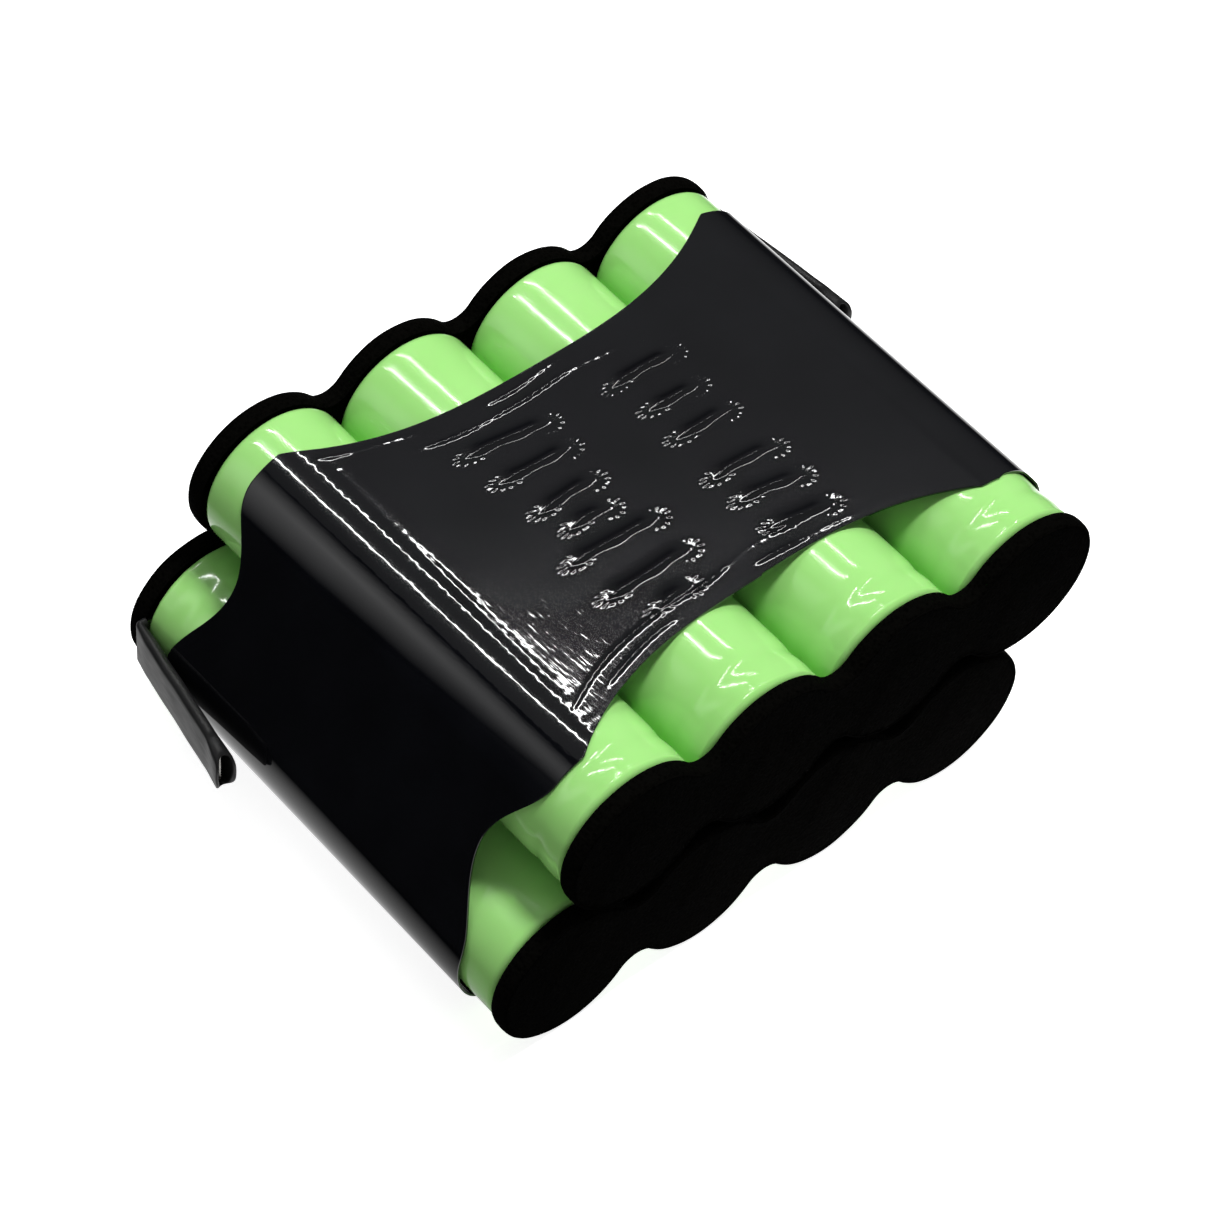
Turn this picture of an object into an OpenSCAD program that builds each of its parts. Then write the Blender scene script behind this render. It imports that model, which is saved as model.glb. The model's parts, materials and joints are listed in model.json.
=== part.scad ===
// Eight-cell battery pack: two nested rows of four flat-top AA cells, welded in series,
// held by one shrink film sleeve, with a foam pad strip on each end of each row and two
// sleeved solder leads folded forward along the sides.
// X runs along the rows, Y along the cells (front is -Y), Z is up. Z = 0 is the resting face.

/* [Cells] */
// Outer diameter of a wrapped cell
cell_d = 14.5; // [14.1:0.1:14.9]
// Length of a wrapped cell, end to end
cell_len = 48.8; // [46:0.1:50.5]
// Thickness of the plastic wrap
wrap_t = 0.2; // [0.15:0.05:0.25]
// Wall of the steel can
can_t = 0.3; // [0.2:0.05:0.35]
// Size of the rounded-over shoulder at each end of a cell
shoulder = 0.8; // [0.6:0.1:1.2]

/* [Stacking] */
// Free gap between neighbouring cells
cell_gap = 0.2; // [0.15:0.05:0.5]
// How far the lower row sits to the left of the upper row
row_offset = 6.6; // [5.8:0.1:7.2]

/* [Cell seal] */
// Radius of the raised flat terminal
terminal_r = 3.6; // [3:0.1:4]
// Radius of the clamped flange of the terminal cap
flange_r = 6.2; // [6:0.1:6.3]
// Depth from the cell's end to the bead that the seal rests on
bead_depth = 2.5; // [2.3:0.1:3]
// Radius of the rubber vent plug under the terminal
plug_r = 2.4; // [2:0.1:2.6]

/* [Foam pads] */
// Thickness of a foam pad strip
pad_t = 1.8; // [1.2:0.1:3]
// Clearance between the upper and the lower pad strip
pad_gap = 0.1; // [0.06:0.02:0.3]
// Radius of the fillet between two lobes of a strip
neck_r = 2.2; // [1.4:0.1:3]

/* [Film sleeve] */
// Thickness of the shrink film
film_t = 0.2; // [0.1:0.05:0.3]
// Half of the film's width where it wraps a corner cell
film_half = 20.5; // [19.5:0.1:21.5]
// Half of the film's width in the middle of the top and bottom faces
film_neck = 15.1; // [13:0.1:18]
// Half of the film's width where a slanted side is narrowest
side_neck = 16.9; // [15:0.1:19]
// Height of the left side's neck above mid-height, and of the right side's below it
side_rise = 4.5; // [3:0.1:5]

/* [Nickel strips] */
// Width of the welded links
strip_w = 4.5; // [4:0.5:5.5]
// Thickness of the links and the leads
strip_t = 0.15; // [0.1:0.05:0.2]
// How far a link reaches past the middle of a cell
strip_reach = 2.8; // [2:0.1:4]

/* [Leads] */
// Length of a lead from its fold to the end of its sleeve
lead_len = 16.8; // [10:0.1:30]
// Width of the insulating sleeve on a lead
tube_w = 5.4; // [5.2:0.1:6.6]
// Thickness of the flattened sleeve
tube_t = 1.1; // [0.9:0.1:1.3]
// Wall of the sleeve
tube_wall = 0.25; // [0.2:0.05:0.3]
// How far the strip stops short of the open end of its sleeve
tip_recess = 1.2; // [0.5:0.1:3]
// Outward splay of the positive lead (left) at rest, degrees
positive_splay = 10; // [6:1:40]
// Outward splay of the negative lead (right) at rest, degrees
negative_splay = 5.5; // [4:0.5:40]
// How far the negative lead is welded below the middle of its cell
negative_drop = 1.2; // [0:0.1:2.4]

/* [Hidden] */
$fn = 64;
cells_per_row = 4;
row_names = ["lower", "upper"];
LOWER = 0;
UPPER = 1;
FRONT = -1;
BACK = 1;

wrap_r = cell_d / 2;
can_r = wrap_r - wrap_t;
bore_r = can_r - can_t;
half_len = cell_len / 2;
pitch = cell_d + cell_gap;
row_rise = sqrt(pitch * pitch - row_offset * row_offset);
z_lower = film_t + wrap_r;
z_upper = z_lower + row_rise;
film_r = wrap_r + film_t;
lobe_r = (pitch - pad_gap) / 2;

// Depths measured from the positive end of a cell, inwards.
wrap_lip = 1.7;
lip_in_r = wrap_r - wrap_lip;
ring_depth = wrap_t;
ring_t = 0.2;
crimp_depth = ring_depth + ring_t;
crimp_t = 0.3;
crimp_in_r = 5.2;
flange_depth = 1.3;
flange_t = 0.6;
plate_t = 0.3;
bead_len = 1;
bead_in = 0.65;
bead_from = bead_depth + 0.1;
bead_to = bead_depth + bead_len;
roll_depth = bead_depth + 2 * bead_len;

// Where the wrap sinks into the bead, and how far.
wrap_dip = 0.2;
dip_from = bead_depth + 0.4;
dip_to = bead_depth + 0.6;

// Walls, clearances and welds of the small inner pieces.
cap_t = 0.3;
floor_t = 0.4;
roll_clear = 0.05;
mandrel_r = 1.5;
vent_r = 0.8;
weld_r = 1.1;
weld_gap = 1.5;
ring_clear = 0.7;

// Lead geometry. The fold is a vertical line beside the outermost cell of the row.
fold_gap = 0.45;
fold_y = half_len + strip_t / 2;
bead_r = 0.12;
bead_clear = 0.03;
tube_start = 0.4;
tip_r = 1.6;
tab_reach = 4;

// Everything is shifted along X so that the whole pack is centred on the origin.
outer_x = (cells_per_row - 1) / 2 * pitch + row_offset / 2 + wrap_r + fold_gap;
left_out = outer_x + lead_len * sin(positive_splay) + tube_t / 2 * cos(positive_splay);
right_out = outer_x + lead_len * sin(negative_splay) + tube_t / 2 * cos(negative_splay);
shift_x = (left_out - right_out) / 2;

function row_z(row) = row == LOWER ? z_lower : z_upper;
function row_shift(row) = row == LOWER ? -row_offset / 2 : row_offset / 2;
function cell_x(row, i) = shift_x + row_shift(row) + (i - (cells_per_row + 1) / 2) * pitch;
function tag(row, i) = str(row_names[row], "_", i);
function named(kind) = [for (row = [LOWER, UPPER], i = [1:cells_per_row]) str(kind, "_", tag(row, i))];

// Stands a cell drawn along Z, positive end up, in its place: upper cells point to the
// front, lower cells to the back.
module at_cell(row, i) {
    translate([cell_x(row, i), 0, row_z(row)])
        rotate([row == LOWER ? -90 : 90, 0, 0])
            children();
}

// Turns a profile of [radius, depth from the positive end] into a solid of revolution.
module turned(points) {
    rotate_extrude()
        polygon([for (p = points) [p[0], half_len - p[1]]]);
}

module wrap(row, i) {
    color("#8fe98a")
        at_cell(row, i)
            turned([
                [lip_in_r, 0],
                [wrap_r - shoulder, 0],
                [wrap_r, shoulder],
                [wrap_r, bead_from],
                [wrap_r - wrap_dip, dip_from],
                [wrap_r - wrap_dip, dip_to],
                [wrap_r, bead_to],
                [wrap_r, cell_len - shoulder],
                [wrap_r - shoulder, cell_len],
                [lip_in_r, cell_len],
                [lip_in_r, cell_len - wrap_t],
                [can_r - shoulder + wrap_t, cell_len - wrap_t],
                [can_r, cell_len - shoulder],
                [can_r, bead_to],
                [can_r - wrap_dip, dip_to],
                [can_r - wrap_dip, dip_from],
                [can_r, bead_from],
                [can_r, shoulder],
                [can_r - shoulder + wrap_t, wrap_t],
                [lip_in_r, wrap_t]
            ]);
}

module can(row, i) {
    color("#b9bcc0")
        at_cell(row, i)
            turned([
                [crimp_in_r, crimp_depth],
                [can_r - shoulder + crimp_depth, crimp_depth],
                [can_r, shoulder],
                [can_r, bead_from],
                [can_r - bead_in, bead_depth + can_t],
                [can_r - bead_in, bead_to - can_t / 2],
                [can_r, bead_to],
                [can_r, cell_len - shoulder],
                [can_r - shoulder + wrap_t, cell_len - wrap_t],
                [0, cell_len - wrap_t],
                [0, cell_len - wrap_t - floor_t],
                [bore_r - shoulder / 2, cell_len - wrap_t - floor_t],
                [bore_r, cell_len - shoulder - floor_t],
                [bore_r, bead_to + can_t],
                [bore_r - bead_in, bead_to],
                [bore_r - bead_in, bead_depth],
                [bore_r, bead_depth],
                [bore_r, crimp_depth + crimp_t],
                [crimp_in_r, crimp_depth + crimp_t]
            ]);
}

module cap(row, i) {
    color("#c9ccd0")
        at_cell(row, i)
            turned([
                [0, wrap_t],
                [terminal_r, wrap_t],
                [terminal_r, flange_depth],
                [flange_r, flange_depth],
                [flange_r, flange_depth + flange_t],
                [vent_r, flange_depth + flange_t],
                [vent_r, flange_depth + flange_t - plate_t],
                [terminal_r - cap_t, flange_depth + flange_t - plate_t],
                [terminal_r - cap_t, wrap_t + cap_t],
                [0, wrap_t + cap_t]
            ]);
}

module gasket(row, i) {
    seal_in_r = crimp_in_r;
    color("#e9e7dc")
        at_cell(row, i)
            turned([
                [seal_in_r, crimp_depth + crimp_t],
                [bore_r, crimp_depth + crimp_t],
                [bore_r, bead_depth],
                [seal_in_r, bead_depth],
                [seal_in_r, flange_depth + flange_t],
                [flange_r, flange_depth + flange_t],
                [flange_r, flange_depth],
                [seal_in_r, flange_depth]
            ]);
}

module electrode_roll(row, i) {
    roll_r = bore_r - roll_clear;
    roll_end = cell_len - wrap_t - floor_t;
    color("#4a4a4d")
        at_cell(row, i)
            turned([
                [mandrel_r, roll_depth],
                [roll_r, roll_depth],
                [roll_r, roll_end - shoulder],
                [roll_r - shoulder, roll_end],
                [mandrel_r, roll_end]
            ]);
}

module insulator_rings() {
    ring_out_r = can_r - shoulder + ring_depth;
    ring_in_r = terminal_r + ring_clear;
    color("#d7d2c0")
        for (row = [LOWER, UPPER], i = [1:cells_per_row])
            at_cell(row, i)
                turned([
                    [ring_in_r, ring_depth],
                    [ring_out_r, ring_depth],
                    [ring_out_r, crimp_depth],
                    [ring_in_r, crimp_depth]
                ]);
}

module vent_plugs() {
    plug_top = wrap_t + cap_t;
    plug_floor = flange_depth + flange_t - plate_t;
    color("#2b2b2b")
        for (row = [LOWER, UPPER], i = [1:cells_per_row])
            at_cell(row, i)
                turned([
                    [0, plug_top],
                    [plug_r, plug_top],
                    [plug_r, plug_floor],
                    [0, plug_floor]
                ]);
}

// Extrudes an XZ outline from the cells' ends outwards, between two distances.
module on_end(side, from, to) {
    translate([0, side * (half_len + from), 0])
        rotate([90, 0, 0])
            translate([0, 0, side == BACK ? -(to - from) : 0])
                linear_extrude(to - from)
                    children();
}

// A flat strip between two points of the XZ plane, pressed down onto the terminal at each.
module link(side, a, b) {
    span = norm(b - a);
    tilt = atan2(b[1] - a[1], b[0] - a[0]);
    on_end(side, 0, strip_t)
        translate(a)
            rotate(tilt)
                translate([-strip_reach, -strip_w / 2])
                    square([span + 2 * strip_reach, strip_w]);
    on_end(side, -wrap_t, 0)
        for (p = [a, b])
            translate(p)
                circle(weld_r);
}

function cell_point(row, i) = [cell_x(row, i), row_z(row)];

module front_link(i) {
    color("#c4c6c8")
        link(FRONT, cell_point(LOWER, i), cell_point(UPPER, i));
}

module back_link(i) {
    color("#c4c6c8")
        link(BACK, cell_point(UPPER, i), cell_point(LOWER, i + 1));
}

// The filleted neck between two lobes of a foam strip, drawn from the left lobe's centre.
// The fillets stop a hair short of the lobes, so that no two curves are tangent.
module neck_outline() {
    hair = 0.04;
    fillet_h = sqrt(pow(lobe_r + neck_r, 2) - pitch * pitch / 4);
    difference() {
        polygon([[0, 0], [pitch / 2, fillet_h], [pitch, 0], [pitch / 2, -fillet_h]]);
        for (s = [-1, 1])
            translate([pitch / 2, s * fillet_h])
                circle(neck_r - hair);
    }
}

// One foam strip: a round lobe over each cell of a row, joined by necks.
module pad(side, row) {
    color("#0c0c0b") {
        for (i = [1:cells_per_row])
            on_end(side, strip_t, strip_t + pad_t)
                translate(cell_point(row, i))
                    circle(lobe_r);
        for (i = [1:cells_per_row - 1])
            on_end(side, strip_t, strip_t + pad_t)
                translate(cell_point(row, i))
                    neck_outline();
    }
}

// The film's outline is the belt around the four corner cells.
corner_points = [
    cell_point(LOWER, 1),
    cell_point(LOWER, cells_per_row),
    cell_point(UPPER, cells_per_row),
    cell_point(UPPER, 1)
];

function outward(a, b) = let (d = (b - a) / norm(b - a)) [d[1], -d[0]];

module belt(r) {
    polygon([
        for (k = [0:3])
            let (a = corner_points[k], b = corner_points[(k + 1) % 4], n = outward(a, b))
            for (p = [a, b])
                p + r * n
    ]);
    for (p = corner_points)
        translate(p)
            circle(r);
}

// Half-width of the film along the top face, and along a side, as it necks in.
bite_steps = 16;
top_over = 2;
top_reach = (cells_per_row - 1) / 2 * pitch + top_over;
side_short = 7.8;
side_long = 9.5;
cut_level = 2;
function top_edge(u) = film_neck + (film_half - film_neck) * pow(abs(u), 3);
function side_edge(u) = film_half - (film_half - side_neck) * pow(1 - u * u, 2);
bite_far = film_half + side_long;

module top_bite() {
    polygon(concat(
        [for (k = [-bite_steps:bite_steps]) [k / bite_steps * top_reach, top_edge(k / bite_steps)]],
        [[top_reach, bite_far], [-top_reach, bite_far]]
    ));
}

// What a side loses beyond its edge, from below its neck to above it.
module side_bite(below, above) {
    polygon(concat(
        [for (k = [-bite_steps:bite_steps])
            [k / bite_steps * (k > 0 ? above : below), side_edge(k / bite_steps)]],
        [[above, bite_far], [-below, bite_far]]
    ));
}

// Cuts a side's bite through the film. dir is -1 for the left side, 1 for the right.
module cut_side(dir) {
    z_mid = (z_lower + z_upper) / 2;
    translate([shift_x + min(0, dir) * outer_x, 0, z_mid - dir * side_rise])
        rotate([90, 0, 90])
            linear_extrude(outer_x)
                rotate(90)
                    mirror([0, 1])
                        side_bite(dir < 0 ? side_long : side_short, dir < 0 ? side_short : side_long);
}

module film_sleeve() {
    cut_h = wrap_r;
    color("#15161b")
        difference() {
            rotate([90, 0, 0])
                linear_extrude(2 * film_half, center = true)
                    difference() {
                        belt(film_r);
                        belt(wrap_r);
                    }
            for (side = [0, 1])
                mirror([0, side, 0]) {
                    translate([shift_x + row_offset / 2, 0, z_upper + cut_level])
                        linear_extrude(cut_h)
                            top_bite();
                    translate([shift_x - row_offset / 2, 0, z_lower - cut_level - cut_h])
                        linear_extrude(cut_h)
                            top_bite();
                    cut_side(-1);
                    cut_side(1);
                }
        }
}

// The leads. dir is -1 for the positive lead on the left, 1 for the negative on the right.
function fold_x(dir) = shift_x + dir * outer_x;
function lead_z(dir) = dir < 0 ? z_lower : z_upper - negative_drop;
function splay(dir) = dir < 0 ? positive_splay : negative_splay;
function lead_row(dir) = dir < 0 ? LOWER : UPPER;
function lead_cell(dir) = dir < 0 ? 1 : cells_per_row;

// The welded part of a lead, from the middle of its cell out to the fold.
module lead_tab(dir) {
    over = 1;
    inner_x = cell_x(lead_row(dir), lead_cell(dir)) - dir * tab_reach;
    length = abs(fold_x(dir) - inner_x);
    difference() {
        translate([min(inner_x, fold_x(dir)), half_len, lead_z(dir) - strip_w / 2])
            cube([length, strip_t, strip_w]);
        translate([fold_x(dir), fold_y, lead_z(dir) - strip_w / 2 - over])
            cylinder(h = strip_w + 2 * over, r = bead_r + bead_clear);
    }
    on_end(BACK, -wrap_t, 0)
        for (s = [-1, 1])
            translate([cell_x(lead_row(dir), lead_cell(dir)) + s * weld_gap, lead_z(dir)])
                circle(weld_r);
}

// Places something drawn along -Y from the fold, at the lead's rest angle.
module at_fold(dir) {
    translate([fold_x(dir), fold_y, lead_z(dir)])
        rotate(dir * splay(dir))
            children();
}

module lead_strip(dir) {
    reach = lead_len - tip_recess;
    at_fold(dir) {
        translate([-strip_t / 2, -reach, -strip_w / 2])
            cube([strip_t, reach, strip_w]);
        translate([0, 0, -strip_w / 2])
            cylinder(h = strip_w, r = bead_r);
    }
}

// A slot outline with round ends, drawn upright.
module slot_outline(w, t) {
    square([t, w - t], center = true);
    for (s = [-1, 1])
        translate([0, s * (w - t) / 2])
            circle(t / 2);
}

// The flattened sleeve, with the corners of its open end rounded off.
module lead_sleeve(dir) {
    inner_w = tube_w - 2 * tube_wall;
    inner_t = tube_t - 2 * tube_wall;
    at_fold(dir)
        difference() {
            translate([0, -tube_start, 0])
                rotate([90, 0, 0])
                    linear_extrude(lead_len - tube_start)
                        difference() {
                            slot_outline(tube_w, tube_t);
                            slot_outline(inner_w, inner_t);
                        }
            for (s = [-1, 1])
                translate([-tube_t, -lead_len, s * tube_w / 2])
                    rotate([0, 90, 0])
                        linear_extrude(2 * tube_t)
                            difference() {
                                square(2 * tip_r, center = true);
                                translate([s * tip_r, tip_r])
                                    circle(tip_r);
                            }
        }
}

module negative_tab() {
    color("#c4c6c8")
        lead_tab(1);
}

module negative_lead_strip() {
    color("#c4c6c8")
        lead_strip(1);
}

module negative_lead_sleeve() {
    color("#1b1c1e")
        lead_sleeve(1);
}

module positive_tab() {
    color("#c4c6c8")
        lead_tab(-1);
}

module positive_lead_strip() {
    color("#c4c6c8")
        lead_strip(-1);
}

module positive_lead_sleeve() {
    color("#1b1c1e")
        lead_sleeve(-1);
}

film_sleeve();
for (row = [LOWER, UPPER], i = [1:cells_per_row]) {
    wrap(row, i);
    can(row, i);
    cap(row, i);
    gasket(row, i);
    electrode_roll(row, i);
}
insulator_rings();
vent_plugs();
for (i = [1:cells_per_row]) {
    front_link(i);
}
for (i = [1:cells_per_row - 1]) {
    back_link(i);
}
pad(FRONT, LOWER);  // pad_front_lower
pad(FRONT, UPPER);  // pad_front_upper
pad(BACK, LOWER);  // pad_back_lower
pad(BACK, UPPER);  // pad_back_upper
negative_tab();
negative_lead_strip();
negative_lead_sleeve();
positive_tab();
positive_lead_strip();
positive_lead_sleeve();
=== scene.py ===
import json
import math

import bmesh
import bpy
import numpy as np
from mathutils import Matrix, Vector
from mathutils.geometry import delaunay_2d_cdt


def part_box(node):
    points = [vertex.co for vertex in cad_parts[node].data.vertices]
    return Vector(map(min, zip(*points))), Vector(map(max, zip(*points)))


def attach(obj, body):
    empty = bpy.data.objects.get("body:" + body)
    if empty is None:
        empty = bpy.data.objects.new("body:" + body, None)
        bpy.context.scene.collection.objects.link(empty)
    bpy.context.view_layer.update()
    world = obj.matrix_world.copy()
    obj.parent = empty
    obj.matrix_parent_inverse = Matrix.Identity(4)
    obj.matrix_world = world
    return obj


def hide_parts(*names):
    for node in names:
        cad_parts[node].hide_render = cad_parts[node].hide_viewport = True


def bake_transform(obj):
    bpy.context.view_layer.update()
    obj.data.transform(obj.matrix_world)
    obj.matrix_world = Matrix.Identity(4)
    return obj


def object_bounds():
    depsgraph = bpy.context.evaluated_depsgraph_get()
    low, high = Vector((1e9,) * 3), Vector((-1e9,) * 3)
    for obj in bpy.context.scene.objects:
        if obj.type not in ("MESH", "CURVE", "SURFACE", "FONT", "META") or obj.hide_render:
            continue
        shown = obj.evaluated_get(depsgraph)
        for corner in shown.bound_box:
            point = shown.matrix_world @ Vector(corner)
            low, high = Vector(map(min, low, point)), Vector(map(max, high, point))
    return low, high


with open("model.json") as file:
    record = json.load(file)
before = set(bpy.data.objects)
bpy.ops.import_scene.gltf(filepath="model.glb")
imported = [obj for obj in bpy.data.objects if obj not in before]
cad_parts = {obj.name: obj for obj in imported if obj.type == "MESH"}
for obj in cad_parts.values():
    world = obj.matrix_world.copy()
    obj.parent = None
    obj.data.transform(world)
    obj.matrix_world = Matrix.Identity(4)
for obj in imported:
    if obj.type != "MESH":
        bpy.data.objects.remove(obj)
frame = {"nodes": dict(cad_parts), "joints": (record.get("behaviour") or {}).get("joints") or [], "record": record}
cad_box = [list(corner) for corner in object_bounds()]

MM = 0.001
CELLS = 4
ROWS = ("lower", "upper")
TURN = 2 * math.pi

# Sizes that the CAD boxes do not give, in metres.
PITCH = 14.7 * MM  # between neighbouring cells
STRIP_W = 4.5 * MM  # width of a nickel link


# ---------------------------------------------------------------- small helpers

def smooth(t):
    """0 below 0, 1 above 1, and a smooth step between."""
    t = np.clip(t, 0, 1)
    return t * t * (3 - 2 * t)


def soft_noise(x, y, size, seed):
    """Smooth noise in -1..1 over a plane, with features about size across."""
    period = 64
    table = np.random.default_rng(seed).uniform(-1, 1, (period, period))
    u = np.asarray(x) / size
    v = np.asarray(y) / size
    i, j = np.floor(u).astype(int), np.floor(v).astype(int)
    fu, fv = smooth(u - i), smooth(v - j)

    def at(a, b):
        return table[a % period, b % period]

    low = at(i, j) * (1 - fu) + at(i + 1, j) * fu
    high = at(i, j + 1) * (1 - fu) + at(i + 1, j + 1) * fu
    return low * (1 - fv) + high * fv


def make_object(name, points, faces, material, shade_smooth=True):
    """A mesh object in the scene, with one material."""
    mesh = bpy.data.meshes.new(name)
    mesh.from_pydata([tuple(map(float, p)) for p in points], [], faces)
    mesh.validate()
    if shade_smooth:
        mesh.shade_smooth()
    obj = bpy.data.objects.new(name, mesh)
    bpy.context.scene.collection.objects.link(obj)
    mesh.materials.append(material)
    return obj


def grid_faces(columns, rows, closed, start=0, flip=False):
    """Quads of a grid whose points run column by column."""
    faces = []
    for c in range(columns if closed else columns - 1):
        a = start + c * rows
        b = start + ((c + 1) % columns) * rows
        for r in range(rows - 1):
            quad = (a + r, b + r, b + r + 1, a + r + 1)
            faces.append(quad[::-1] if flip else quad)
    return faces


def cell_axis(row, i):
    """x and z of a cell's axis, and the radius of its wrap."""
    low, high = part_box(f"wrap_{row}_{i}")
    return (low.x + high.x) / 2, (low.z + high.z) / 2, (high.x - low.x) / 2


# ---------------------------------------------------------------- materials

def new_material(name, **values):
    """A Principled material; returns it, its node tree and its shader."""
    mat = bpy.data.materials.new(name)
    mat.use_nodes = True
    shader = mat.node_tree.nodes["Principled BSDF"]
    for key, value in values.items():
        shader.inputs[key.replace("_", " ")].default_value = value
    return mat, mat.node_tree, shader


def object_coords(tree, scale=(1, 1, 1)):
    """Object coordinates; a scale below 1 stretches a texture along that axis."""
    coords = tree.nodes.new("ShaderNodeTexCoord")
    mapping = tree.nodes.new("ShaderNodeMapping")
    mapping.inputs["Scale"].default_value = scale
    tree.links.new(coords.outputs["Object"], mapping.inputs["Vector"])
    return mapping.outputs["Vector"]


def noise(tree, vector, scale, detail=3.0, rough=0.5):
    node = tree.nodes.new("ShaderNodeTexNoise")
    node.inputs["Scale"].default_value = scale
    node.inputs["Detail"].default_value = detail
    node.inputs["Roughness"].default_value = rough
    tree.links.new(vector, node.inputs["Vector"])
    return node.outputs["Fac"]


def cells_texture(tree, vector, scale):
    node = tree.nodes.new("ShaderNodeTexVoronoi")
    node.inputs["Scale"].default_value = scale
    tree.links.new(vector, node.inputs["Vector"])
    return node.outputs["Distance"]


def spread(tree, value, low, high, start=0.3, end=0.7):
    """Goes from low to high while a value goes from start to end."""
    node = tree.nodes.new("ShaderNodeMapRange")
    node.inputs["From Min"].default_value = start
    node.inputs["From Max"].default_value = end
    node.inputs["To Min"].default_value = low
    node.inputs["To Max"].default_value = high
    tree.links.new(value, node.inputs["Value"])
    return node.outputs["Result"]


def colour_by(tree, shader, value, low, high, start=0.3, end=0.7):
    """Colours a shader from low to high while a value goes from start to end."""
    node = tree.nodes.new("ShaderNodeValToRGB")
    for element, place, colour in zip(node.color_ramp.elements, (start, end), (low, high)):
        element.position = place
        element.color = (*colour, 1)
    tree.links.new(value, node.inputs["Fac"])
    tree.links.new(node.outputs["Color"], shader.inputs["Base Color"])


def roughness_by(tree, shader, value, low, high, start=0.3, end=0.7):
    """Roughens a shader from low to high while a value goes from start to end."""
    tree.links.new(spread(tree, value, low, high, start, end), shader.inputs["Roughness"])


def add_values(tree, a, b, weight=1.0):
    """a + weight * b."""
    node = tree.nodes.new("ShaderNodeMath")
    node.operation = "MULTIPLY_ADD"
    node.inputs[1].default_value = weight
    tree.links.new(b, node.inputs[0])
    tree.links.new(a, node.inputs[2])
    return node.outputs[0]


def multiply(tree, a, b):
    node = tree.nodes.new("ShaderNodeMath")
    node.operation = "MULTIPLY"
    tree.links.new(a, node.inputs[0])
    tree.links.new(b, node.inputs[1])
    return node.outputs[0]


def bump(tree, shader, height, distance):
    node = tree.nodes.new("ShaderNodeBump")
    node.inputs["Distance"].default_value = distance
    node.inputs["Strength"].default_value = 1.0
    tree.links.new(height, node.inputs["Height"])
    tree.links.new(node.outputs["Normal"], shader.inputs["Normal"])


# The film's fine wrinkles fade between these heights, and this much of them is left on its sides.
WRINKLES_FROM = 26.2 * MM
WRINKLES_FULL = 27.2 * MM
SIDE_WRINKLES = 0.12


def film_material():
    mat, tree, shader = new_material("black_film", IOR=1.53, Coat_Weight=0.1, Coat_Roughness=0.12)
    streaks = noise(tree, object_coords(tree, (1, 0.2, 1)), scale=3400, detail=1.5)
    waves = noise(tree, object_coords(tree, (1, 0.35, 1)), scale=1100, detail=1.0)
    broad = noise(tree, object_coords(tree), scale=160, detail=4.0)
    colour_by(tree, shader, broad, (0.0022, 0.0024, 0.0034), (0.0034, 0.0037, 0.005))
    uneven = add_values(tree, broad, streaks, weight=0.5)
    roughness_by(tree, shader, uneven, 0.025, 0.045, start=0.5, end=1.0)
    place = tree.nodes.new("ShaderNodeSeparateXYZ")
    tree.links.new(object_coords(tree), place.inputs[0])
    on_top = spread(tree, place.outputs["Z"], SIDE_WRINKLES, 1, WRINKLES_FROM, WRINKLES_FULL)
    wrinkles = multiply(tree, add_values(tree, streaks, waves, weight=0.8), on_top)
    bump(tree, shader, wrinkles, distance=0.0045 * MM)
    return mat


def wrap_material():
    mat, tree, shader = new_material("green_wrap", IOR=1.5, Coat_Weight=0.35, Coat_Roughness=0.04,
                                     Subsurface_Weight=0.12, Subsurface_Scale=1.2 * MM)
    shader.inputs["Subsurface Radius"].default_value = (0.3, 1.0, 0.25)
    broad = noise(tree, object_coords(tree), scale=110)
    fine = noise(tree, object_coords(tree, (1, 0.3, 1)), scale=900)
    colour_by(tree, shader, broad, (0.335, 0.715, 0.20), (0.365, 0.75, 0.225))
    roughness_by(tree, shader, fine, 0.09, 0.14)
    bump(tree, shader, broad, distance=0.03 * MM)
    return mat


def foam_material():
    mat, tree, shader = new_material("black_foam", IOR=1.4, Specular_IOR_Level=0.012)
    where = object_coords(tree)
    grain = noise(tree, where, scale=3400, detail=4.0, rough=0.65)
    pores = cells_texture(tree, where, scale=2600)
    both = add_values(tree, grain, pores, weight=0.8)
    colour_by(tree, shader, both, (0.0003, 0.0003, 0.0002), (0.0022, 0.0021, 0.0018), 0.35, 0.95)
    roughness_by(tree, shader, grain, 0.85, 1.0)
    bump(tree, shader, both, distance=0.16 * MM)
    return mat


def sleeve_material():
    mat, tree, shader = new_material("sleeve_plastic", IOR=1.45)
    along = noise(tree, object_coords(tree, (1, 0.08, 1)), scale=2600)
    broad = noise(tree, object_coords(tree), scale=420)
    colour_by(tree, shader, broad, (0.007, 0.007, 0.0072), (0.012, 0.012, 0.0122))
    roughness_by(tree, shader, along, 0.36, 0.46)
    bump(tree, shader, along, distance=0.004 * MM)
    return mat


def metal_material(name, low, high, scale, stretch, rough):
    """Rolled or drawn metal; its grain runs along the axes whose scale is small."""
    mat, tree, shader = new_material(name, Metallic=1.0)
    grain = noise(tree, object_coords(tree, stretch), scale, detail=4.0)
    stain = noise(tree, object_coords(tree), scale=260)
    colour_by(tree, shader, stain, low, high)
    roughness_by(tree, shader, grain, rough, rough + 0.16)
    bump(tree, shader, grain, distance=0.012 * MM)
    return mat


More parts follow.
